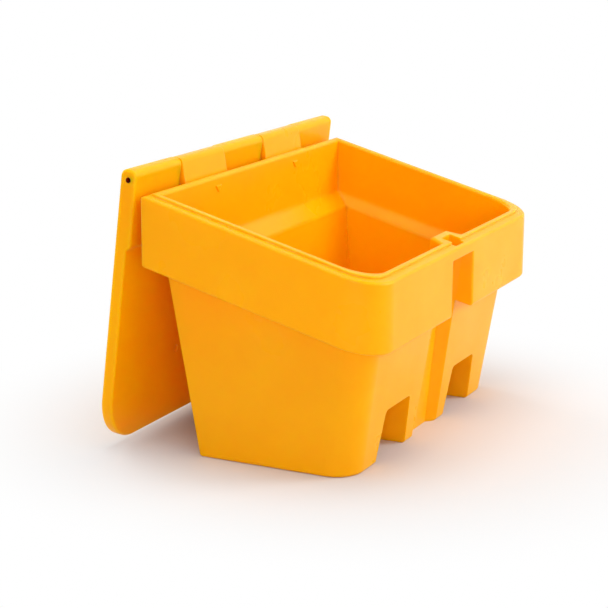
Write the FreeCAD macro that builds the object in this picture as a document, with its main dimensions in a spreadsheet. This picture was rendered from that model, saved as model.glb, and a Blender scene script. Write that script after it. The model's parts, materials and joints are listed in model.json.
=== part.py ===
import FreeCAD, Part
import math
import os
import Sketcher

# A street grit bin: moulded tub with fork channels, moulded lid hanging open, steel hinge rod.
# Millimetres. The origin is on the floor under the middle of the collar, +X to the right
# seen from the front, +Y to the back, +Z up. The lid is placed as it hangs behind the tub.

VECTOR = FreeCAD.Vector

# Driving sizes, one cell each: millimetres and degrees.
SIZES = {
    # Collar, the upright band round the mouth, cut off on the slope of the lid.
    "collar_width": 1000,
    "collar_depth": 560,
    "back_height": 605,
    "rim_slope": 15,
    "collar_height": 160,
    "front_corner": 92,
    "edge_round": 7,
    # Hopper, the tapered tub below the collar.
    "side_step": 55,
    "back_step": 30,
    "front_step": 45,
    "side_foot_inset": 80,
    "back_foot_inset": 97,
    "front_foot_inset": 90,
    "hopper_corner": 66,
    "wall": 6,
    "foot_round": 9,
    # Rim: flat ledge outside, raised lip inside.
    "ledge_side": 24,
    "ledge_front": 20,
    "ledge_back": 12,
    "lip_height": 5.5,
    "lip_round": 2.5,
    "rim_side": 43,
    "rim_front": 34,
    "rim_back": 27,
    "mouth_corner": 70,
    "mouth_round": 7,
    # Shoulder inside, between the collar and the hopper.
    "shoulder_height": 24,
    "shoulder_ledge": 3,
    "shoulder_back": 60,
    # Channel down the middle of the front: widths at the collar's face, hopper's face and back.
    "channel_mouth_width": 132,
    "channel_foot_width": 152,
    "channel_top_width": 112,
    "channel_foot_back_width": 110,
    "channel_top_back_width": 74,
    "channel_foot_depth": 20,
    "channel_top_depth": 60,
    "recess_round": 5,
    # Pocket in the rim that takes the lid's lug, and the band of rim above the channel.
    "pocket_width": 54,
    "pocket_length": 36,
    "pocket_inset": 10,
    "pocket_corner": 4,
    "rim_band": 31.5,
    # Fork channels from front to back under the hopper.
    "fork_inner": 118,
    "fork_outer": 288,
    "fork_height": 123,
    "fork_draft": 16,
    "fork_round": 12,
    # Two small wedges on the inner back wall.
    "wedge_side": 200,
    "wedge_width": 26,
    "wedge_height": 16,
    "wedge_drop": 14,
    "wedge_proud": 3,
    # Hinge behind the rim.
    "axis_back": 31,
    "axis_above_ledge": 22,
    "knuckle_start": 100,
    "knuckle_length": 200,
    "knuckle_gap": 3,
    "knuckle_half": 18,
    "knuckle_reach": 23,
    "knuckle_round": 15,
    "knuckle_foot": 27,
    "knuckle_lean": 3,
    "knuckle_root": 5,
    "arm_foot": 60,
    "arm_round": 3,
    "stop_length": 38,
    "stop_lead": 2,
    "stop_gap": 0.2,
    "rod_diameter": 12,
    "rod_recess": 35,
    "rod_clearance": 0.06,
    "rod_grip": 0.03,
    # Lid, sizes taken along and across its own plane.
    "lid_tilt": 7,
    "lid_overhang": 10,
    "lid_corner": 110,
    "lid_thickness": 28.5,
    "lid_edge_round": 6,
    "strip_length": 150,
    "strip_ramp": 10,
    "strip_round": 10,
    "ledge_gap": 1.5,
    "lip_gap": 4,
    "lip_side_gap": 3,
    "notch_reach": 36,
    "notch_round": 4,
    # Lug under the lid's front edge, with its padlock hole.
    "lug_width": 24,
    "lug_root": 20,
    "lug_tip": 13,
    "lug_tip_round": 4,
    "lug_forward": 3,
    "lug_show": 26,
    "padlock_hole": 12,
    "padlock_rise": 12.5,
    # Small moulded dimples on the lid's outer side.
    "dimple_radius": 9,
    "dimple_depth": 3,
    "dimple_side": 223,
    "dimple_along": 453,
}

doc = FreeCAD.newDocument("grit_bin")
sheet = doc.addObject("Spreadsheet::Sheet", "dims")
for row, (name, value) in enumerate(SIZES.items(), start=1):
    sheet.set(f"A{row}", str(value))
    sheet.setAlias(f"A{row}", name)
doc.recompute()


def cell(text):
    """A formula in the sheet's own names, with the sheet's name put before each."""
    words = []
    word = ""
    for mark in text + " ":
        if mark.isalnum() or mark == "_":
            word += mark
            continue
        words.append(f"dims.{word}" if word in SIZES else word)
        words.append(mark)
        word = ""
    return "".join(words).strip()


def size(text):
    """The present value of a formula in the sheet's names."""
    return float(sheet.evalExpression(cell(text)))


# Places worked out from the driving sizes.
HALF_WIDTH = "(collar_width / 2)"
HALF_DEPTH = "(collar_depth / 2)"
SLOPE = "tan(rim_slope)"
ALONG = "cos(rim_slope)"
LEDGE_MIDDLE = f"(back_height - {HALF_DEPTH} * {SLOPE})"
COLLAR_FOOT_FRONT = f"(back_height - collar_depth * {SLOPE} - collar_height)"
HOPPER_TOP = "(back_height - collar_height)"
FRONT_DRAFT = f"((front_foot_inset - front_step) / {COLLAR_FOOT_FRONT})"
BACK_DRAFT = f"((back_foot_inset - back_step) / ({HOPPER_TOP} - back_step * {SLOPE}))"
SIDE_DRAFT = f"((side_foot_inset - side_step) / {HOPPER_TOP})"
FRONT_TOP_INSET = f"(front_foot_inset - {FRONT_DRAFT} * {HOPPER_TOP})"
BACK_TOP_INSET = f"(back_foot_inset - {BACK_DRAFT} * {HOPPER_TOP})"
SHOULDER_FOOT = "(collar_height - wall)"
SHOULDER_TOP = f"({SHOULDER_FOOT} - shoulder_height)"
AXIS_Y = f"({HALF_DEPTH} + axis_back)"
AXIS_Z = f"(back_height + axis_back * {SLOPE} + axis_above_ledge / {ALONG})"
LID_UNDER = "(axis_above_ledge - ledge_gap)"
LID_TOP = f"(lid_thickness - {LID_UNDER})"
LID_REACH = f"((collar_depth + axis_back) / {ALONG} + lid_overhang)"
LEDGE_AXIS = f"({AXIS_Y} + axis_above_ledge * sin(rim_slope))"
POCKET_MIDDLE = f"({HALF_DEPTH} - pocket_inset - pocket_length / 2)"
LUG_PLACE = f"(({LEDGE_AXIS} + {POCKET_MIDDLE}) / {ALONG} + lug_forward)"
CHANNEL_TOP = f"({LEDGE_MIDDLE} - {POCKET_MIDDLE} * {SLOPE} - rim_band)"
LUG_TIP = f"(axis_above_ledge + rim_band / {ALONG} + lug_show)"
SLACK = 0.5


def below_ledge(across, drop):
    """Height of a point that lies a drop below the ledge plane, at a place across the collar."""
    return f"({LEDGE_MIDDLE} + ({across}) * {SLOPE} - ({drop}))"


def plane(body, role):
    """One of the body's own origin planes."""
    return next(item for item in body.Origin.OriginFeatures if item.Role == role)


def new_sketch(body, name, role, lift="0", tilt=None):
    """A sketch on an origin plane, moved along the plane's normal and tilted about its X axis."""
    sketch = body.newObject("Sketcher::SketchObject", name)
    sketch.AttachmentSupport = [(plane(body, role), "")]
    sketch.MapMode = "FlatFace"
    if tilt is not None:
        sketch.AttachmentOffset = FreeCAD.Placement(VECTOR(), FreeCAD.Rotation(VECTOR(1, 0, 0), 1))
        sketch.setExpression(".AttachmentOffset.Rotation.Angle", cell(tilt))
    sketch.setExpression(".AttachmentOffset.Base.z", cell(lift))
    return sketch


def tie(sketch, constraint, name, formula):
    """Adds a driving constraint whose value follows a formula in the sheet's names."""
    index = sketch.addConstraint(constraint)
    sketch.renameConstraint(index, name)
    sketch.setExpression(f"Constraints.{name}", cell(formula))


def corner_turn(before, here, after, radius):
    """Tangent points, centre and sweep of the arc that rounds one corner."""
    to_before = (before - here).normalize()
    to_after = (after - here).normalize()
    half = to_before.getAngle(to_after) / 2
    setback = radius / math.tan(half)
    middle = (to_before + to_after).normalize()
    centre = here + middle * (radius / math.sin(half))
    return here + to_before * setback, here + to_after * setback, centre


def draw_outline(sketch, corners):
    """Closed outline through corners (across, up, radius), each a formula; radius None is sharp."""
    tag = f"{sketch.Name}_{sketch.GeometryCount}"
    points = [VECTOR(size(across), size(up), 0) for across, up, _ in corners]
    count = len(points)
    starts, ends, arcs = [], [], {}
    for index, (_, _, radius) in enumerate(corners):
        before, here, after = points[index - 1], points[index], points[(index + 1) % count]
        if radius is None:
            starts.append(here)
            ends.append(here)
            continue
        first, last, centre = corner_turn(before, here, after, size(radius))
        ends.append(first)
        starts.append(last)
        arcs[index] = (first, last, centre, size(radius))
    lines = [
        sketch.addGeometry(Part.LineSegment(starts[index], ends[(index + 1) % count]), False)
        for index in range(count)
    ]
    for index, (across, up, radius) in enumerate(corners):
        line_in, line_out = lines[index - 1], lines[index]
        if radius is None:
            sketch.addConstraint(Sketcher.Constraint("Coincident", line_in, 2, line_out, 1))
            mark, point = line_out, 1
        else:
            mark = sketch.addGeometry(Part.Point(points[index]), True)
            point = 1
            sketch.addConstraint(Sketcher.Constraint("PointOnObject", mark, 1, line_in))
            sketch.addConstraint(Sketcher.Constraint("PointOnObject", mark, 1, line_out))
            first, last, centre, reach = arcs[index]
            turn = (first - centre).cross(last - centre).z
            low, high = (first, last) if turn > 0 else (last, first)
            angle_low = math.atan2(low.y - centre.y, low.x - centre.x)
            angle_high = math.atan2(high.y - centre.y, high.x - centre.x)
            circle = Part.Circle(centre, VECTOR(0, 0, 1), reach)
            arc = sketch.addGeometry(Part.ArcOfCircle(circle, angle_low, angle_high), False)
            end_in, end_out = (1, 2) if turn > 0 else (2, 1)
            sketch.addConstraint(Sketcher.Constraint("Tangent", line_in, 2, arc, end_in))
            sketch.addConstraint(Sketcher.Constraint("Tangent", arc, end_out, line_out, 1))
            tie(sketch, Sketcher.Constraint("Radius", arc, reach), f"{tag}_round_{index}", radius)
        where = points[index]
        across_rule = Sketcher.Constraint("DistanceX", -1, 1, mark, point, where.x)
        up_rule = Sketcher.Constraint("DistanceY", -1, 1, mark, point, where.y)
        tie(sketch, across_rule, f"{tag}_across_{index}", across)
        tie(sketch, up_rule, f"{tag}_up_{index}", up)


def draw_circle(sketch, across, up, radius):
    """A full circle placed and sized by formulas."""
    tag = f"{sketch.Name}_{sketch.GeometryCount}"
    centre = VECTOR(size(across), size(up), 0)
    circle = sketch.addGeometry(Part.Circle(centre, VECTOR(0, 0, 1), size(radius)), False)
    tie(sketch, Sketcher.Constraint("Radius", circle, size(radius)), f"{tag}_round", radius)
    across_rule = Sketcher.Constraint("DistanceX", -1, 1, circle, 3, centre.x)
    up_rule = Sketcher.Constraint("DistanceY", -1, 1, circle, 3, centre.y)
    tie(sketch, across_rule, f"{tag}_across", across)
    tie(sketch, up_rule, f"{tag}_up", up)


def loft_cut(body, name, low, high):
    """Cut with straight sides from one sketch to another."""
    feature = body.newObject("PartDesign::SubtractiveLoft", name)
    feature.Profile = low
    feature.Sections = [(high, [""])]
    feature.Ruled = True
    return feature


def pad(body, name, sketch, length, both=False):
    """Extrusion of a sketch along its normal, or both ways from its plane."""
    feature = body.newObject("PartDesign::Pad", name)
    feature.Profile = sketch
    feature.Midplane = both
    feature.setExpression("Length", cell(length))
    return feature


def pocket(body, name, sketch, length=None, both=False, back=False):
    """Cut of a sketch, through everything where no length is given."""
    feature = body.newObject("PartDesign::Pocket", name)
    feature.Profile = sketch
    feature.Reversed = back
    feature.Midplane = both
    if length is None:
        feature.Type = "ThroughAll"
    else:
        feature.setExpression("Length", cell(length))
    return feature


def mirror(body, name, feature):
    """The same feature on the other side of the body's middle plane."""
    copy = body.newObject("PartDesign::Mirrored", name)
    copy.Originals = [feature]
    copy.MirrorPlane = (plane(body, "YZ_Plane"), [""])
    body.Tip = copy
    return copy


def edges_where(body, test):
    """Names of the tip's edges whose middle point passes a test."""
    doc.recompute()
    names = []
    for index, edge in enumerate(body.Tip.Shape.Edges, start=1):
        middle = edge.valueAt((edge.FirstParameter + edge.LastParameter) / 2)
        if test(edge, middle):
            names.append(f"Edge{index}")
    return names


def fillet(body, name, radius, test):
    """Rounds the edges that pass a test."""
    names = edges_where(body, test)
    base = body.Tip
    feature = body.newObject("PartDesign::Fillet", name)
    feature.Base = (base, names)
    feature.setExpression("Radius", cell(radius))
    return feature


def combine(body, name, tool, kind):
    """Joins another body to this one, or cuts it away."""
    feature = body.newObject("PartDesign::Boolean", name)
    feature.setObjects([tool])
    feature.Type = kind
    return feature


def is_upright(edge):
    """Whether a straight edge rises more than it runs."""
    if len(edge.Vertexes) < 2 or edge.Curve.TypeId != "Part::GeomLine":
        return False
    run = edge.Vertexes[1].Point - edge.Vertexes[0].Point
    return abs(run.z) > math.hypot(run.x, run.y)


def depth_below_ledge(point):
    """How far a point lies below the ledge plane, measured upright."""
    return size(LEDGE_MIDDLE) + point.y * size(SLOPE) - point.z


def near(value, goal):
    """Whether two lengths agree within a small slack."""
    return abs(value - goal) < SLACK


def rim_outline(side, front, back, front_radius):
    """Rectangle on a rim-parallel plane, given by insets from the collar's faces."""
    half = f"({HALF_WIDTH} - {side})"
    low = f"(-({HALF_DEPTH} - {front}) / {ALONG})"
    high = f"(({HALF_DEPTH} - {back}) / {ALONG})"
    return [
        (f"-{half}", low, front_radius),
        (half, low, front_radius),
        (half, high, None),
        (f"-{half}", high, None),
    ]


def band(body, name, front, back, low_drop, high_drop, width):
    """An upright block whose top and bottom are parallel to the ledge, at two drops below it."""
    outline = new_sketch(body, f"{name}_side_view", "YZ_Plane")
    draw_outline(outline, [
        (front, below_ledge(front, low_drop), None),
        (back, below_ledge(back, low_drop), None),
        (back, below_ledge(back, high_drop), None),
        (front, below_ledge(front, high_drop), None),
    ])
    return pad(body, f"{name}_block", outline, width, both=True)


def tapered_form(body, name, inset, back_top, floor, drop):
    """The hopper's tapered form, moved in by an inset and cut off at a drop below the ledge."""
    foot_front = f"(front_foot_inset + {inset} - {FRONT_DRAFT} * {floor})"
    foot_back = f"(back_foot_inset + {inset} - {BACK_DRAFT} * {floor})"
    foot_side = f"(side_foot_inset + {inset} - {SIDE_DRAFT} * {floor})"
    side_view = new_sketch(body, f"{name}_side_view", "YZ_Plane")
    draw_outline(side_view, [
        (f"(-({HALF_DEPTH} - {foot_front}))", floor, None),
        (f"({HALF_DEPTH} - {foot_back})", floor, None),
        (f"({HALF_DEPTH} - {back_top})", HOPPER_TOP, None),
        (f"(-({HALF_DEPTH} - {FRONT_TOP_INSET} - {inset}))", HOPPER_TOP, None),
    ])
    pad(body, f"{name}_block", side_view, "collar_width", both=True)
    front_view = new_sketch(body, f"{name}_front_view", "XZ_Plane")
    draw_outline(front_view, [
        (f"({HALF_WIDTH} - {foot_side})", floor, None),
        (HALF_WIDTH, floor, None),
        (HALF_WIDTH, HOPPER_TOP, None),
        (f"({HALF_WIDTH} - side_step - {inset})", HOPPER_TOP, None),
    ])
    slope = pocket(body, f"{name}_slope", front_view, both=True)
    mirror(body, f"{name}_slopes", slope)
    fillet(body, f"{name}_corners", f"(hopper_corner - {inset})",
           lambda edge, middle: is_upright(edge) and middle.y < 0)
    top = new_sketch(body, f"{name}_top", "XY_Plane", lift=f"{LEDGE_MIDDLE} - {drop}", tilt="rim_slope")
    draw_outline(top, rim_outline("0 - wall", "0 - wall", "0 - wall", None))
    pocket(body, f"{name}_top_cut", top, back=True)


def channel_section(body, name, level, face_inset, width, back_width, depth, growth):
    """Section of the front channel: from before the collar to the hopper's face and the back."""
    sketch = new_sketch(body, name, "XY_Plane", lift=level)
    front = f"(-({HALF_DEPTH} + wall))"
    face = f"(-({HALF_DEPTH} - {face_inset} - {growth}))"
    back = f"({face} + {depth} - {face_inset})"
    half_front = f"(channel_mouth_width / 2 + {growth})"
    half = f"({width} / 2 + {growth})"
    half_back = f"({back_width} / 2 + {growth})"
    draw_outline(sketch, [
        (f"-{half_front}", front, None),
        (half_front, front, None),
        (half, face, None),
        (half_back, back, None),
        (f"-{half_back}", back, None),
        (f"-{half}", face, None),
    ])
    return sketch


def channel_top_section(body, name, growth):
    """The channel's section at its top."""
    face_inset = f"(front_foot_inset - {FRONT_DRAFT} * {CHANNEL_TOP})"
    return channel_section(body, name, CHANNEL_TOP, face_inset, "channel_top_width",
                           "channel_top_back_width", "channel_top_depth", growth)


def front_channel(body, name, growth):
    """Cuts the channel, or with a growth of one wall the hump that it makes inside."""
    low = channel_section(body, f"{name}_low", "0", "front_foot_inset", "channel_foot_width",
                          "channel_foot_back_width", "(front_foot_inset + channel_foot_depth)", growth)
    high = channel_top_section(body, f"{name}_high", growth)
    return loft_cut(body, name, low, high)


def fork_outline(sketch, side, growth, radius):
    """Upright section of one fork channel, leaning in by its draft."""
    inner = f"(fork_inner - {growth})"
    outer = f"(fork_outer + {growth})"
    draw_outline(sketch, [
        (f"{side} * {inner}", "0 - wall", None),
        (f"{side} * ({inner} + fork_draft)", f"fork_height + {growth}", radius),
        (f"{side} * ({outer} - fork_draft)", f"fork_height + {growth}", radius),
        (f"{side} * {outer}", "0 - wall", None),
    ])


def fork_channels(body, name, growth, radius):
    """Cuts both fork channels, or with a growth of one wall the humps that they make inside."""
    outline = new_sketch(body, f"{name}_outline", "XZ_Plane")
    fork_outline(outline, "1", growth, radius)
    mirror(body, f"{name}_pair", pocket(body, name, outline, both=True))


def make_mouth():
    """The space inside the collar, with the sloping shoulder down to the hopper and the boss."""
    body = doc.addObject("PartDesign::Body", "mouth")
    half = f"({HALF_WIDTH} - rim_side)"
    front = f"(-({HALF_DEPTH} - rim_front))"
    back = f"({HALF_DEPTH} - rim_back)"
    band(body, "mouth", front, back, SHOULDER_FOOT, "(-2 * lip_height)", f"(2 * {half})")
    fillet(body, "mouth_corners", "mouth_corner",
           lambda edge, middle: is_upright(edge) and middle.y < 0)
    run_side = "(side_step + wall - rim_side - shoulder_ledge)"
    high = f"(({LEDGE_MIDDLE} - {SHOULDER_TOP}) * {ALONG})"
    low = f"({high} - 2 * shoulder_height * {ALONG})"
    side = new_sketch(body, "shoulder_side", "XZ_Plane", tilt="rim_slope")
    draw_outline(side, [
        (half, high, None),
        (f"({half} - 2 * {run_side})", low, None),
        (HALF_WIDTH, low, None),
        (HALF_WIDTH, high, None),
    ])
    mirror(body, "shoulder_sides", pocket(body, "shoulder_side_slope", side, both=True))
    run_back = "(shoulder_back - rim_back - shoulder_ledge)"
    run_front = "(front_step + wall - rim_front - shoulder_ledge)"
    for word, edge, inner, outer in (
        ("back", back, f"({back} - 2 * {run_back})", HALF_DEPTH),
        ("front", front, f"({front} + 2 * {run_front})", f"(-{HALF_DEPTH})"),
    ):
        slope = new_sketch(body, f"shoulder_{word}", "YZ_Plane")
        draw_outline(slope, [
            (edge, below_ledge(edge, SHOULDER_TOP), None),
            (inner, below_ledge(inner, f"{SHOULDER_TOP} + 2 * shoulder_height"), None),
            (outer, below_ledge(outer, f"{SHOULDER_TOP} + 2 * shoulder_height"), None),
            (outer, below_ledge(outer, SHOULDER_TOP), None),
        ])
        pocket(body, f"shoulder_{word}_slope", slope, both=True)
    wedge = new_sketch(body, "wedge_outline", "XZ_Plane", lift=f"(wedge_proud - {HALF_DEPTH} + rim_back)")
    top = below_ledge(back, "wedge_drop")
    draw_outline(wedge, [
        ("(wedge_side - wedge_width / 2)", top, None),
        ("wedge_side", f"({top} - wedge_height)", None),
        ("(wedge_side + wedge_width / 2)", top, None),
    ])
    mirror(body, "wedges", pocket(body, "wedge", wedge, "2 * wedge_proud"))
    return body


def make_cavity():
    """The space inside the tub, one wall inside its outer form, with the collar's wider mouth."""
    body = doc.addObject("PartDesign::Body", "cavity")
    tapered_form(body, "space", "wall", "shoulder_back", "wall", f"({SHOULDER_FOOT} - shoulder_height / 2)")
    combine(body, "with_mouth", make_mouth(), "Fuse")
    front_channel(body, "hump", "wall")
    boss = channel_top_section(body, "boss_outline", "wall")
    pocket(body, "boss", boss, back=True)
    fork_channels(body, "tunnel_hump", "wall", "(fork_round + wall)")
    return body


def make_collar():
    """The collar: an upright band with rounded edges, its vertical back corners left crisp."""
    body = doc.addObject("PartDesign::Body", "collar")
    band(body, "collar", f"(-{HALF_DEPTH})", HALF_DEPTH, "collar_height", "0", "collar_width")
    fillet(body, "collar_corners", "front_corner",
           lambda edge, middle: is_upright(edge) and middle.y < 0)
    fillet(body, "ledge_round", "edge_round",
           lambda edge, middle: near(depth_below_ledge(middle), 0))
    fillet(body, "band_foot_round", "edge_round",
           lambda edge, middle: near(depth_below_ledge(middle), size("collar_height")))
    return body


def swung(along, above, angle):
    """Upright-plane place of a lid point, given along and above the lid at a lid angle."""
    across = f"({AXIS_Y} - ({along}) * cos({angle}) - ({above}) * sin({angle}))"
    up = f"({AXIS_Z} - ({along}) * sin({angle}) + ({above}) * cos({angle}))"
    return across, up


def knuckle_outline(sketch):
    """Section of a tub knuckle: block round the rod, arm to the collar, stop for the open lid."""
    hanging = "(90 + lid_tilt)"
    stop = "(knuckle_half + stop_gap)"
    left = f"({AXIS_Y} - knuckle_half)"
    right = f"({AXIS_Y} + knuckle_half)"
    top = f"({AXIS_Z} + knuckle_reach)"
    inside = f"({HALF_DEPTH} - wall)"
    draw_outline(sketch, [
        (left, top, "knuckle_round"),
        (f"({HALF_DEPTH} + knuckle_lean)", "(back_height - knuckle_root)", None),
        (inside, "(back_height - knuckle_root - wall)", None),
        (inside, "(back_height - arm_foot - wall)", None),
        (*swung("notch_reach + stop_length", stop, hanging), "arm_round"),
        (*swung("notch_reach - stop_lead", stop, hanging), "arm_round"),
        (right, f"({AXIS_Z} - knuckle_foot)", "knuckle_round"),
        (right, top, "knuckle_round"),
    ])


def make_tub(cavity):
    """The tub: hopper, collar, rim, hinge knuckles, channels and the space inside."""
    body = doc.addObject("PartDesign::Body", "bin_body")
    tapered_form(body, "hopper", "0", BACK_TOP_INSET, "0", SHOULDER_FOOT)
    fillet(body, "foot_round", "foot_round", lambda edge, middle: near(middle.z, 0))
    combine(body, "with_collar", make_collar(), "Fuse")
    lip = new_sketch(body, "lip", "XY_Plane", lift=LEDGE_MIDDLE, tilt="rim_slope")
    draw_outline(lip, rim_outline("ledge_side", "ledge_front", "ledge_back",
                                  "(front_corner - ledge_side)"))
    pad(body, "lip_ring", lip, "lip_height")
    fillet(body, "lip_round", "lip_round", lambda edge, middle: on_lip_top(middle))
    knuckle = new_sketch(body, "knuckle", "YZ_Plane", lift="knuckle_start + knuckle_gap / 2")
    knuckle_outline(knuckle)
    mirror(body, "knuckle_arms", pad(body, "knuckle_arm", knuckle, "knuckle_length - knuckle_gap"))
    front_channel(body, "channel", "0")
    fork_channels(body, "fork_channel", "0", "fork_round")
    fillet(body, "recess_round", "recess_round",
           lambda edge, middle: in_channel(middle) and near(middle.y, -size(HALF_DEPTH)))
    lock = new_sketch(body, "lock_pocket_outline", "XY_Plane", lift=CHANNEL_TOP)
    low = f"(-({HALF_DEPTH} - pocket_inset))"
    high = f"({low} + pocket_length)"
    draw_outline(lock, [
        ("(-pocket_width / 2)", low, "pocket_corner"),
        ("(pocket_width / 2)", low, "pocket_corner"),
        ("(pocket_width / 2)", high, "pocket_corner"),
        ("(-pocket_width / 2)", high, "pocket_corner"),
    ])
    pocket(body, "lock_pocket", lock, back=True)
    bore = new_sketch(body, "rod_bore_outline", "YZ_Plane")
    draw_circle(bore, AXIS_Y, AXIS_Z, "(rod_diameter / 2 + rod_clearance)")
    pocket(body, "rod_bore", bore, both=True)
    combine(body, "hollow", cavity, "Cut")
    fillet(body, "mouth_round", "mouth_round",
           lambda edge, middle: on_lip_top(middle) and in_mouth(middle) and not in_pocket(middle))
    doc.recompute()
    return body


def on_lip_top(point):
    """Whether a point lies on the flat top of the lip."""
    return near(depth_below_ledge(point) * size(ALONG), -size("lip_height"))


def in_channel(point):
    """Whether a point lies within the front channel's width, below its top."""
    half = max(size("channel_foot_width"), size("channel_mouth_width")) / 2
    return abs(point.x) < half + SLACK and SLACK < point.z < size(CHANNEL_TOP) - SLACK


def in_mouth(point):
    """Whether a point lies inside the line halfway along the lip's width."""
    side = size("ledge_side + rim_side") / 2
    front = size("ledge_front + rim_front") / 2
    back = size("ledge_back + rim_back") / 2
    low = -size(HALF_DEPTH) + front
    return abs(point.x) < size(HALF_WIDTH) - side and low < point.y < size(HALF_DEPTH) - back


def in_pocket(point):
    """Whether a point lies within the lock pocket's width and length."""
    across = abs(point.x) < size("pocket_width") / 2 + SLACK
    return across and abs(point.y + size(POCKET_MIDDLE)) < size("pocket_length") / 2 + SLACK


def make_lid():
    """The lid in its own frame: hinge axis on X, reaching along -Y, outer side up."""
    body = doc.addObject("PartDesign::Body", "lid")
    profile = new_sketch(body, "lid_profile", "YZ_Plane")
    draw_outline(profile, [
        ("knuckle_reach", f"(-{LID_UNDER})", "knuckle_round"),
        ("knuckle_reach", "knuckle_half", "knuckle_round"),
        ("(-strip_length)", "knuckle_half", "strip_round"),
        ("(-strip_length - strip_ramp)", LID_TOP, "strip_round"),
        (f"(-{LID_REACH})", LID_TOP, None),
        (f"(-{LID_REACH})", f"(-{LID_UNDER})", None),
    ])
    pad(body, "lid_slab", profile, "collar_width", both=True)
    fillet(body, "lid_corners", "lid_corner",
           lambda edge, middle: near(middle.y, -size(LID_REACH)) and near(abs(middle.x), size(HALF_WIDTH)))
    fillet(body, "lid_edges", "lid_edge_round",
           lambda edge, middle: near(abs(middle.x), size(HALF_WIDTH)) and near(middle.z, size(LID_TOP)))
    notch = new_sketch(body, "notch_outline", "XY_Plane")
    near_side = "(knuckle_start - knuckle_gap / 2)"
    far_side = "(knuckle_start + knuckle_length + knuckle_gap / 2)"
    draw_outline(notch, [
        (near_side, "(-notch_reach)", "notch_round"),
        (far_side, "(-notch_reach)", "notch_round"),
        (far_side, "(2 * knuckle_reach)", None),
        (near_side, "(2 * knuckle_reach)", None),
    ])
    mirror(body, "knuckle_notches", pocket(body, "knuckle_notch", notch, both=True))
    recess = new_sketch(body, "recess_outline", "XY_Plane", lift=f"(-{LID_UNDER})")
    half = f"({HALF_WIDTH} - ledge_side + lip_side_gap)"
    front = f"(-({LEDGE_AXIS} + {HALF_DEPTH} - ledge_front) / {ALONG} - lip_side_gap)"
    back = f"(-({LEDGE_AXIS} - {HALF_DEPTH} + ledge_back) / {ALONG} + lip_side_gap)"
    corner = "(front_corner - ledge_side + lip_side_gap)"
    draw_outline(recess, [
        (f"-{half}", front, corner),
        (half, front, corner),
        (half, back, None),
        (f"-{half}", back, None),
    ])
    pocket(body, "lip_recess", recess, "lip_height + lip_gap - ledge_gap", back=True)
    lug = new_sketch(body, "lug_outline", "YZ_Plane")
    draw_outline(lug, [
        (f"(-{LUG_PLACE} - lug_root / 2)", f"(-{LID_UNDER} / 2)", None),
        (f"(-{LUG_PLACE} - lug_tip / 2)", f"(-{LUG_TIP})", "lug_tip_round"),
        (f"(-{LUG_PLACE} + lug_tip / 2)", f"(-{LUG_TIP})", "lug_tip_round"),
        (f"(-{LUG_PLACE} + lug_root / 2)", f"(-{LID_UNDER} / 2)", None),
    ])
    pad(body, "lug", lug, "lug_width", both=True)
    hole = new_sketch(body, "padlock_outline", "YZ_Plane")
    draw_circle(hole, f"(-{LUG_PLACE})", f"(padlock_rise - {LUG_TIP})", "(padlock_hole / 2)")
    pocket(body, "padlock_hole_cut", hole, "2 * lug_width", both=True)
    dimple = new_sketch(body, "dimple_outline", "XY_Plane", lift=LID_TOP)
    draw_circle(dimple, "dimple_side", "(-dimple_along)", "dimple_radius")
    mirror(body, "dimples", pocket(body, "dimple", dimple, "dimple_depth"))
    bore = new_sketch(body, "lid_bore_outline", "YZ_Plane")
    draw_centred_circle(bore, "(rod_diameter / 2 - rod_grip)")
    pocket(body, "lid_bore", bore, both=True)
    doc.recompute()
    return body


def draw_centred_circle(sketch, radius):
    """A full circle about the sketch's origin."""
    circle = sketch.addGeometry(Part.Circle(VECTOR(), VECTOR(0, 0, 1), size(radius)), False)
    sketch.addConstraint(Sketcher.Constraint("Coincident", circle, 3, -1, 1))
    tie(sketch, Sketcher.Constraint("Radius", circle, size(radius)), "circle_round", radius)


def make_rod():
    """The steel rod on the hinge axis, sunk into the lid at both ends."""
    body = doc.addObject("PartDesign::Body", "hinge_rod")
    outline = new_sketch(body, "rod_outline", "YZ_Plane")
    draw_centred_circle(outline, "(rod_diameter / 2)")
    pad(body, "rod_bar", outline, "collar_width - 2 * rod_recess", both=True)
    doc.recompute()
    return body


def hang(body, angle):
    """Places a body drawn about the hinge axis, turned by an angle formula."""
    body.Placement = FreeCAD.Placement(VECTOR(), FreeCAD.Rotation(VECTOR(1, 0, 0), 1))
    body.setExpression(".Placement.Rotation.Angle", cell(angle))
    body.setExpression(".Placement.Base.y", cell(AXIS_Y))
    body.setExpression(".Placement.Base.z", cell(AXIS_Z))


def check(item):
    """Stops the build where an object failed or its shape is empty or not valid."""
    for part in doc.Objects:
        bad = [word for word in part.State if word in ("Invalid", "Error")]
        if bad:
            raise RuntimeError(f"{part.Name}: {part.State}")
    if item.Shape.isNull() or not item.Shape.isValid():
        raise RuntimeError(f"{item.Label}: shape is not valid")


tub = make_tub(make_cavity())
lid = make_lid()
rod = make_rod()
hang(lid, "90 + lid_tilt")
hang(rod, "0")
doc.recompute()
for item in (tub, lid, rod):
    check(item)
os.makedirs("parts", exist_ok=True)
for item in (tub, lid, rod):
    item.Shape.exportStep(f"parts/{item.Label}.step")
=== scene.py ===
import json
import math
import bpy
from mathutils import Matrix, Vector

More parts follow.
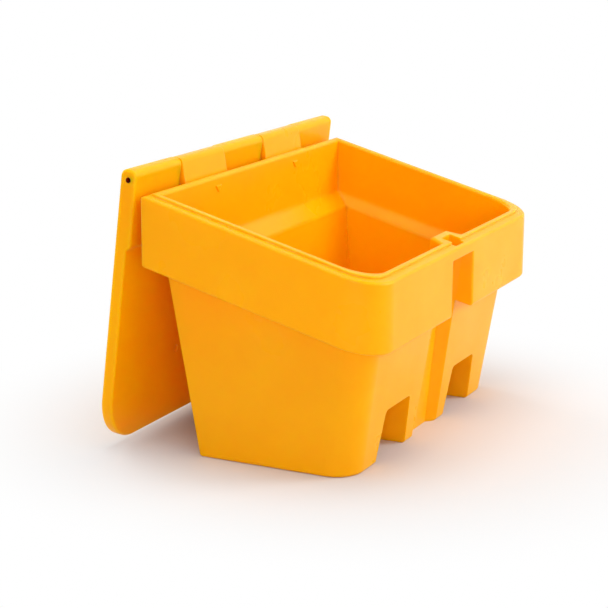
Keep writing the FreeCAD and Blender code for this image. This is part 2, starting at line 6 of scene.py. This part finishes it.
# Looks of a moulded plastic grit bin with its lid hanging open. Metres, in the model's frame.
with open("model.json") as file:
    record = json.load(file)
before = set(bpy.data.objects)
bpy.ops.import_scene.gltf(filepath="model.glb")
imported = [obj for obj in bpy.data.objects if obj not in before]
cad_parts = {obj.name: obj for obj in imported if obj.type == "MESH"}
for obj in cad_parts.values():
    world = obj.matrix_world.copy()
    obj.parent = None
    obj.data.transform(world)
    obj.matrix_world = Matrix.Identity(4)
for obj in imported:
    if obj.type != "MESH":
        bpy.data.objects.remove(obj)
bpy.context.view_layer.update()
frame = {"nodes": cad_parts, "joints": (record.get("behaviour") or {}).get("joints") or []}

# Camera of the photograph, fitted to the bin's edges.
CAMERA_TURN = math.radians(-64.0776)
CAMERA_RISE = math.radians(13.7208)
CAMERA_ROLL = math.radians(0.2532)
CAMERA_REACH = 4.19332
CAMERA_AIM = Vector((0.0, 0.0, 0.35))
CAMERA_RIGHT_STEP = -0.115616
CAMERA_UP_STEP = -0.063156
FOCAL_PIXELS = 1760.911
PICTURE_PIXELS = 608
SENSOR_MM = 36.0

# Colours, linear.
BIN_YELLOW = (0.985, 0.415, 0.0, 1.0)
DEEP_YELLOW = (0.965, 0.38, 0.0, 1.0)
RUBBED_YELLOW = (0.98, 0.56, 0.12, 1.0)
# Painted shade: a near-black colour for the inside of the hinge bores.
BORE_PAINTED_SHADE = (0.05, 0.012, 0.0, 1.0)
ZINC = (0.56, 0.57, 0.58, 1.0)
DARK_ZINC = (0.30, 0.31, 0.32, 1.0)
FLOOR_WHITE = (0.695, 0.688, 0.688, 1.0)
STUDIO_WHITE = (1.0, 1.0, 1.0, 1.0)
SOFT_WHITE = (1.0, 0.99, 0.98, 1.0)

# Moulded skin. A texture's scale is in cells to the metre. A range has its start and end,
# and then its low and high result where these aren't 0 and 1.
CLOUD_SCALE = 5.0
CLOUD_TONES = (0.35, 0.7)
CLOUD_GLOSS = (0.3, 0.7, -0.05, 0.06)
PEEL_SCALE = 190.0
PORE_SCALE = 900.0
PORE_SHARE = 0.35
SKIN_BUMP = 0.35
SKIN_DEPTH = 0.0006
PLASTIC_IOR = 1.5
PLASTIC_SHINE = 0.12
GLOW_RADIUS = (1.0, 0.4, 0.05)

# Eased and rubbed edges.
EDGE_RADIUS = 0.0035
SHOULDER_RADIUS = 0.018
EDGE_SAMPLES = 6
EDGE_TURN = (0.995, 0.80)
PATCH_SCALE = 28.0
PATCH_RANGE = (0.42, 0.66)
SCUFF_DULLING = 0.15

# Inside of the collar: bands in which the inside gives way to the rim's edges.
MOUTH_SIDE = (0.462, 0.456)
MOUTH_FRONT = (-0.249, -0.243)
MOUTH_BACK = (0.258, 0.252)

# Shoulder between collar and hopper, as bands of depth below the rim's ledge.
LEDGE_MIDDLE = 0.529974
RIM_SLOPE = math.tan(math.radians(15.0))
SHOULDER_TOP = (0.055 - LEDGE_MIDDLE, 0.07 - LEDGE_MIDDLE)
SHOULDER_FOOT = (0.175 - LEDGE_MIDDLE, 0.16 - LEDGE_MIDDLE)

# Hinge axis, round which the bores are darkened with painted shade, and the band of radius in which it
# ends.
AXIS_BACK, AXIS_HEIGHT = frame["joints"][0]["pos_m"][1:]
BORE_RADIUS = (0.0066, 0.0061)

# Galvanised rod.
SPANGLE_SCALE = 420.0
SPANGLE_ROUGHNESS = (0.0, 1.0, 0.3, 0.5)

# Studio floor: half its side, and the distances where it starts and ends its fade to white.
FLOOR_HALF = 14.0
FLOOR_FADE = (0.34, 1.0)
FLOOR_ROUGHNESS = 0.9
FLOOR_SHINE = 0.1
WORLD_LIGHT = 0.62


def make_camera():
    """Camera on the sphere round the aim point, stepped sideways and up in its own plane."""
    back = Vector((
        math.sin(CAMERA_TURN) * math.cos(CAMERA_RISE),
        -math.cos(CAMERA_TURN) * math.cos(CAMERA_RISE),
        math.sin(CAMERA_RISE),
    ))
    level = (-back).cross(Vector((0.0, 0.0, 1.0))).normalized()
    upright = level.cross(-back)
    right = math.cos(CAMERA_ROLL) * level + math.sin(CAMERA_ROLL) * upright
    up = math.cos(CAMERA_ROLL) * upright - math.sin(CAMERA_ROLL) * level
    place = CAMERA_AIM + CAMERA_REACH * back + CAMERA_RIGHT_STEP * level + CAMERA_UP_STEP * upright
    turn = Matrix((right, up, back)).transposed().to_4x4()
    data = bpy.data.cameras.new("photo_camera")
    data.sensor_width = SENSOR_MM
    data.lens = FOCAL_PIXELS / PICTURE_PIXELS * SENSOR_MM
    camera = bpy.data.objects.new("photo_camera", data)
    camera.matrix_world = Matrix.Translation(place) @ turn
    bpy.context.scene.collection.objects.link(camera)
    bpy.context.scene.camera = camera


def add_node(tree, kind, **settings):
    """A node with its properties and input values set by name, a space written as _."""
    node = tree.nodes.new(kind)
    for name, value in settings.items():
        if hasattr(node, name):
            setattr(node, name, value)
        else:
            node.inputs[name.replace("_", " ")].default_value = value
    return node


def feed(tree, socket, value):
    """Gives an input either a link from another node or a plain value."""
    if isinstance(value, bpy.types.NodeSocket):
        tree.links.new(value, socket)
    else:
        socket.default_value = value


def work_out(tree, operation, *terms, **settings):
    """Result of a math node, its terms being sockets or numbers."""
    node = add_node(tree, "ShaderNodeMath", operation=operation, **settings)
    for socket, term in zip(node.inputs, terms):
        feed(tree, socket, term)
    return node.outputs[0]


def product(tree, value, *others):
    """Product of two or more values."""
    for other in others:
        value = work_out(tree, "MULTIPLY", value, other)
    return value


def ramp(tree, value, start, end, low=0.0, high=1.0):
    """A value that goes from low to high while another goes from start to end."""
    node = add_node(tree, "ShaderNodeMapRange", From_Min=start, From_Max=end, To_Min=low, To_Max=high)
    feed(tree, node.inputs["Value"], value)
    return node.outputs["Result"]


def mix_colours(tree, factor, first, second):
    """Colour between two colours."""
    node = tree.nodes.new("ShaderNodeMix")
    node.data_type = "RGBA"
    for name, value in (("Factor", factor), ("A", first), ("B", second)):
        feed(tree, node.inputs[name], value)
    return node.outputs["Result"]


def mix_shaders(tree, factor, first, second):
    """Shader between two shaders, led to the material's or the world's output."""
    node = tree.nodes.new("ShaderNodeMixShader")
    for socket, value in zip(node.inputs, (factor, first, second)):
        tree.links.new(value, socket)
    output = next(item for item in tree.nodes if item.type.startswith("OUTPUT"))
    tree.links.new(node.outputs["Shader"], output.inputs["Surface"])


def object_place(tree):
    """Place on the object, in its own metres."""
    return tree.nodes.new("ShaderNodeTexCoord").outputs["Object"]


def noise(tree, place, scale, detail, roughness):
    """Value of a noise texture."""
    node = add_node(tree, "ShaderNodeTexNoise", Scale=scale, Detail=detail, Roughness=roughness)
    tree.links.new(place, node.inputs["Vector"])
    return node.outputs["Fac"]


def new_material(name):
    """An empty node material with its output and a Principled shader."""
    material = bpy.data.materials.new(name)
    material.use_nodes = True
    tree = material.node_tree
    tree.nodes.clear()
    output = tree.nodes.new("ShaderNodeOutputMaterial")
    shader = tree.nodes.new("ShaderNodeBsdfPrincipled")
    tree.links.new(shader.outputs["BSDF"], output.inputs["Surface"])
    return material, tree, shader


def new_group(name, inputs, outputs):
    """An empty shader node group with named colour, number or vector sockets."""
    group = bpy.data.node_groups.new(name, "ShaderNodeTree")
    for label, kind, value in inputs:
        socket = group.interface.new_socket(label, in_out="INPUT", socket_type=f"NodeSocket{kind}")
        socket.default_value = value
    for label, kind in outputs:
        group.interface.new_socket(label, in_out="OUTPUT", socket_type=f"NodeSocket{kind}")
    return group, group.nodes.new("NodeGroupInput").outputs, group.nodes.new("NodeGroupOutput").inputs


def make_moulded_skin():
    """Moulded plastic skin: cloudy tone, orange-peel height with pores, and uneven gloss."""
    group, given, result = new_group(
        "moulded_skin",
        [("Colour", "Color", BIN_YELLOW), ("Deep", "Color", DEEP_YELLOW), ("Gloss", "Float", 0.4),
         ("Grain", "Float", 1.0)],
        [("Colour", "Color"), ("Roughness", "Float"), ("Height", "Float")])
    place = object_place(group)
    clouds = noise(group, place, CLOUD_SCALE, detail=4.0, roughness=0.55)
    peel = noise(group, place, PEEL_SCALE, detail=2.0, roughness=0.5)
    pores = noise(group, place, PORE_SCALE, detail=1.0, roughness=0.5)
    tone = ramp(group, clouds, *CLOUD_TONES)
    colour = mix_colours(group, tone, given["Colour"], given["Deep"])
    roughness = work_out(group, "ADD", given["Gloss"], ramp(group, clouds, *CLOUD_GLOSS))
    relief = work_out(group, "MULTIPLY_ADD", pores, PORE_SHARE, peel)
    group.links.new(colour, result["Colour"])
    group.links.new(roughness, result["Roughness"])
    group.links.new(product(group, relief, given["Grain"]), result["Height"])
    return group


def inside_mouth(group, across, along):
    """One inside the collar and nothing on the rim and outside."""
    aside = ramp(group, work_out(group, "ABSOLUTE", across), *MOUTH_SIDE)
    return product(group, aside, ramp(group, along, *MOUTH_FRONT), ramp(group, along, *MOUTH_BACK))


def at_shoulder(group, place):
    """One at the height of the shoulder, which follows the rim's slope."""
    drop = add_node(group, "ShaderNodeVectorMath", operation="DOT_PRODUCT")
    drop.inputs[1].default_value = (0.0, RIM_SLOPE, -1.0)
    group.links.new(place, drop.inputs[0])
    upper = ramp(group, drop.outputs["Value"], *SHOULDER_TOP)
    lower = ramp(group, drop.outputs["Value"], *SHOULDER_FOOT)
    return product(group, upper, lower)


def in_bore(group, along, height):
    """One within the bore round the hinge axis, the mask for the bores' painted shade."""
    away = group.nodes.new("ShaderNodeCombineXYZ")
    group.links.new(work_out(group, "SUBTRACT", height, AXIS_HEIGHT), away.inputs["X"])
    group.links.new(work_out(group, "SUBTRACT", along, AXIS_BACK), away.inputs["Y"])
    reach = add_node(group, "ShaderNodeVectorMath", operation="LENGTH")
    group.links.new(away.outputs["Vector"], reach.inputs[0])
    return ramp(group, reach.outputs["Value"], *BORE_RADIUS)


def make_soft_edges():
    """Edges eased by a few millimetres, with a mask where handling has rubbed them paler, and the
    hinge bores darkened with painted shade.
    """
    group, given, result = new_group(
        "soft_edges",
        [("Colour", "Color", BIN_YELLOW), ("Rubbed", "Color", RUBBED_YELLOW)],
        [("Colour", "Color"), ("Mask", "Float"), ("Normal", "Vector")])
    place = object_place(group)
    spot = group.nodes.new("ShaderNodeSeparateXYZ")
    group.links.new(place, spot.inputs["Vector"])
    across, along, height = spot.outputs
    inside = inside_mouth(group, across, along)
    shoulder = product(group, inside, at_shoulder(group, place))
    bevel = group.nodes.new("ShaderNodeBevel")
    bevel.samples = EDGE_SAMPLES
    radius = ramp(group, shoulder, 0.0, 1.0, EDGE_RADIUS, SHOULDER_RADIUS)
    group.links.new(radius, bevel.inputs["Radius"])
    facing = group.nodes.new("ShaderNodeNewGeometry")
    turn = add_node(group, "ShaderNodeVectorMath", operation="DOT_PRODUCT")
    group.links.new(bevel.outputs["Normal"], turn.inputs[0])
    group.links.new(facing.outputs["Normal"], turn.inputs[1])
    edge = ramp(group, turn.outputs["Value"], *EDGE_TURN)
    patches = ramp(group, noise(group, place, PATCH_SCALE, detail=5.0, roughness=0.65), *PATCH_RANGE)
    outside = work_out(group, "SUBTRACT", 1.0, inside)
    mask = product(group, edge, outside, patches)
    rubbed = mix_colours(group, mask, given["Colour"], given["Rubbed"])
    # Painted shade: the bores round the hinge axis are darkened towards near black.
    rubbed_with_bore_shade = mix_colours(group, in_bore(group, along, height), rubbed, BORE_PAINTED_SHADE)
    group.links.new(rubbed_with_bore_shade, result["Colour"])
    group.links.new(mask, result["Mask"])
    group.links.new(bevel.outputs["Normal"], result["Normal"])
    return group


def make_plastic(name, skin, edges, gloss, grain, glow, depth):
    """Yellow polyethylene with a moulded skin and eased edges, slightly translucent."""
    material, tree, shader = new_material(name)
    surface = add_node(tree, "ShaderNodeGroup", node_tree=skin)
    surface.inputs["Gloss"].default_value = gloss
    surface.inputs["Grain"].default_value = grain
    rim = add_node(tree, "ShaderNodeGroup", node_tree=edges)
    bump = add_node(tree, "ShaderNodeBump", Strength=SKIN_BUMP, Distance=SKIN_DEPTH)
    roughness = work_out(tree, "MULTIPLY_ADD", rim.outputs["Mask"], SCUFF_DULLING,
                         surface.outputs["Roughness"])
    tree.links.new(surface.outputs["Colour"], rim.inputs["Colour"])
    tree.links.new(surface.outputs["Height"], bump.inputs["Height"])
    tree.links.new(rim.outputs["Normal"], bump.inputs["Normal"])
    tree.links.new(rim.outputs["Colour"], shader.inputs["Base Color"])
    tree.links.new(roughness, shader.inputs["Roughness"])
    tree.links.new(bump.outputs["Normal"], shader.inputs["Normal"])
    shader.inputs["IOR"].default_value = PLASTIC_IOR
    shader.inputs["Specular IOR Level"].default_value = PLASTIC_SHINE
    shader.inputs["Subsurface Weight"].default_value = glow
    shader.inputs["Subsurface Radius"].default_value = GLOW_RADIUS
    shader.inputs["Subsurface Scale"].default_value = depth
    return material


def make_galvanised():
    """Zinc-coated rod: small spangles that differ in tone and gloss."""
    material, tree, shader = new_material("galvanised_rod")
    spangle = add_node(tree, "ShaderNodeTexVoronoi", Scale=SPANGLE_SCALE)
    tree.links.new(object_place(tree), spangle.inputs["Vector"])
    shade = spangle.outputs["Distance"]
    tree.links.new(mix_colours(tree, shade, DARK_ZINC, ZINC), shader.inputs["Base Color"])
    tree.links.new(ramp(tree, shade, *SPANGLE_ROUGHNESS), shader.inputs["Roughness"])
    shader.inputs["Metallic"].default_value = 1.0
    return material


def dress(node, material):
    """Gives a CAD node one material."""
    piece = frame["nodes"][node]
    piece.data.materials.clear()
    piece.data.materials.append(material)


def sight(tree):
    """One for what the camera sees, straight or in a reflection or through a clear piece."""
    path = tree.nodes.new("ShaderNodeLightPath").outputs
    straight = work_out(tree, "ADD", path["Is Camera Ray"], path["Is Glossy Ray"])
    return work_out(tree, "ADD", straight, path["Is Transmission Ray"], use_clamp=True)


def make_floor():
    """Level floor that fades to white away from the bin and keeps the shadow near it."""
    corners = [(across * FLOOR_HALF, along * FLOOR_HALF, 0.0)
               for across, along in ((-1, -1), (1, -1), (1, 1), (-1, 1))]
    mesh = bpy.data.meshes.new("floor")
    mesh.from_pydata(corners, [], [(0, 1, 2, 3)])
    floor = bpy.data.objects.new("floor", mesh)
    bpy.context.scene.collection.objects.link(floor)
    material, tree, shader = new_material("studio_floor")
    shader.inputs["Base Color"].default_value = FLOOR_WHITE
    shader.inputs["Roughness"].default_value = FLOOR_ROUGHNESS
    shader.inputs["Specular IOR Level"].default_value = FLOOR_SHINE
    reach = add_node(tree, "ShaderNodeVectorMath", operation="LENGTH")
    tree.links.new(object_place(tree), reach.inputs[0])
    fade = add_node(tree, "ShaderNodeMapRange", interpolation_type="SMOOTHSTEP",
                    From_Min=FLOOR_FADE[0], From_Max=FLOOR_FADE[1])
    tree.links.new(reach.outputs["Value"], fade.inputs["Value"])
    white = add_node(tree, "ShaderNodeEmission", Strength=1.0)
    seen = product(tree, fade.outputs["Result"], sight(tree))
    mix_shaders(tree, seen, shader.outputs["BSDF"], white.outputs["Emission"])
    mesh.materials.append(material)


def make_world():
    """White studio: white to the camera and in reflections, softer for the light it gives."""
    world = bpy.data.worlds.new("studio")
    world.use_nodes = True
    tree = world.node_tree
    tree.nodes.clear()
    tree.nodes.new("ShaderNodeOutputWorld")
    soft = add_node(tree, "ShaderNodeBackground", Color=SOFT_WHITE, Strength=WORLD_LIGHT)
    seen = add_node(tree, "ShaderNodeBackground", Color=STUDIO_WHITE, Strength=1.0)
    mix_shaders(tree, sight(tree), soft.outputs["Background"], seen.outputs["Background"])
    bpy.context.scene.world = world


def add_softbox(name, place, aim, width, height, power):
    """Rectangular soft light at a place, facing a point."""
    data = bpy.data.lights.new(name, "AREA")
    data.shape = "RECTANGLE"
    data.size = width
    data.size_y = height
    data.energy = power
    lamp = bpy.data.objects.new(name, data)
    way = Vector(aim) - Vector(place)
    lamp.matrix_world = Matrix.Translation(place) @ way.to_track_quat("-Z", "Y").to_matrix().to_4x4()
    bpy.context.scene.collection.objects.link(lamp)


make_camera()
make_world()
make_floor()
add_softbox("key", (1.8, -3.3, 1.9), (0, 0, 0.3), width=1.6, height=1.6, power=86.0)
add_softbox("top", (-0.7, -0.2, 3.2), (0, 0, 0.3), width=2.0, height=2.0, power=42.0)
add_softbox("back", (1.2, 3.2, 1.5), (0, 0.4, 0.3), width=2.2, height=1.8, power=52.0)
add_softbox("fill", (-3.6, -1.9, 0.9), (0, 0.2, 0.2), width=1.6, height=1.0, power=38.0)
skin = make_moulded_skin()
edges = make_soft_edges()
dress("bin_body", make_plastic("bin_plastic", skin, edges, gloss=0.3, grain=0.6, glow=0.5, depth=0.03))
dress("lid", make_plastic("lid_plastic", skin, edges, gloss=0.34, grain=0.8, glow=0.8, depth=0.1))
dress("hinge_rod", make_galvanised())
bpy.context.scene.view_settings.view_transform = "Standard"
